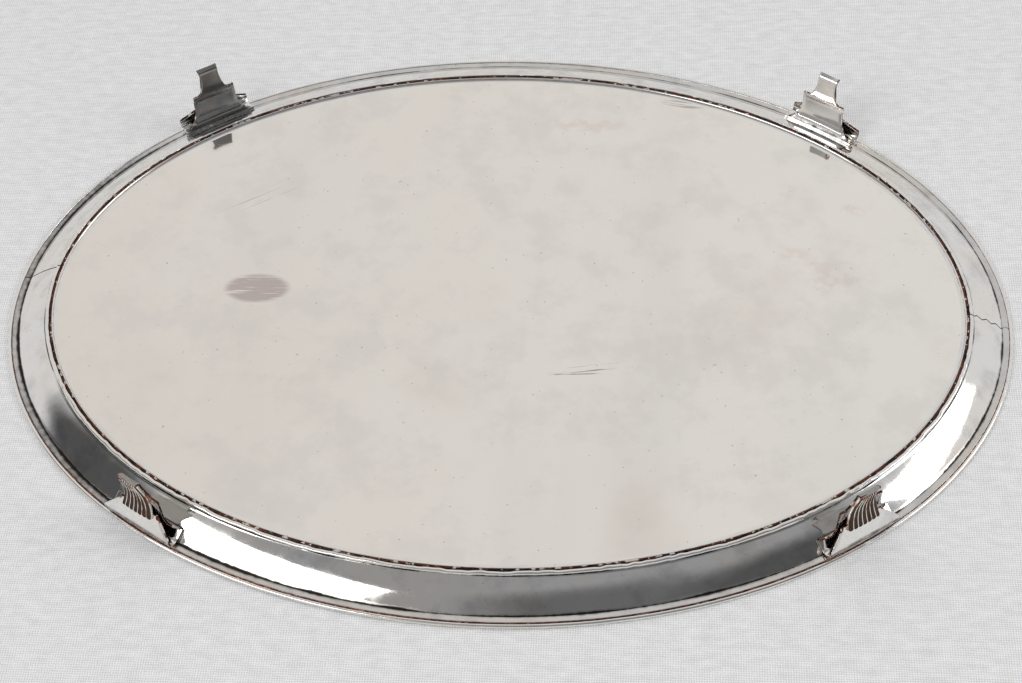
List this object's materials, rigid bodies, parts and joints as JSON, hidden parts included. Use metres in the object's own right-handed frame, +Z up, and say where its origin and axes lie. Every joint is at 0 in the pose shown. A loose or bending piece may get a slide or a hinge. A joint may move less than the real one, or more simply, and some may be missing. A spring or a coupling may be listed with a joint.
{
  "type": "oval salver",
  "caption": "Oval footed salver of worn silver plate on copper, stored face down: flat back, sloping rim, bracket feet with scallop shells.",
  "frame": {"origin": "middle of the oval on the plane that the rim lies on, face down", "axes": "+X along the length, -Y the front, +Z up from the rim through the back of the tray to the feet; turned half round about X the salver stands on its feet"},
  "size_m": [0.4, 0.2852, 0.0335],
  "materials": {
    "silver_plate": "fused silver plate on copper, polished, worn, copper showing on raw edges",
    "silver_border": "stamped silver border, bright",
    "silver_foot": "stamped silver plate on copper, polished, copper at the edges",
    "silver_shell": "die-stamped silver shell, dark tarnish in the flutes",
    "soft_solder": "lead-tin solder, dull grey",
    "braze": "brazing metal in the end seams, dull"
  },
  "bodies": {
    "root": {"base_plate": "silver_plate", "rim_front": "silver_plate", "rim_back": "silver_plate", "seam_solder": "soft_solder", "end_seam_left": "braze", "end_seam_right": "braze", "border_front": "silver_border", "border_back": "silver_border", "border_fill_front": "soft_solder", "border_fill_back": "soft_solder", "foot_front_left": "silver_foot", "foot_roll_front_left": "silver_foot", "foot_solder_front_left": "soft_solder", "shell_fill_front_left": "soft_solder", "shell_front_left": "silver_shell", "foot_front_right": "silver_foot", "foot_roll_front_right": "silver_foot", "foot_solder_front_right": "soft_solder", "shell_fill_front_right": "soft_solder", "shell_front_right": "silver_shell", "foot_back_right": "silver_foot", "foot_roll_back_right": "silver_foot", "foot_solder_back_right": "soft_solder", "shell_fill_back_right": "soft_solder", "shell_back_right": "silver_shell", "foot_back_left": "silver_foot", "foot_roll_back_left": "silver_foot", "foot_solder_back_left": "soft_solder", "shell_fill_back_left": "soft_solder", "shell_back_left": "silver_shell"}
  },
  "joints": []
}
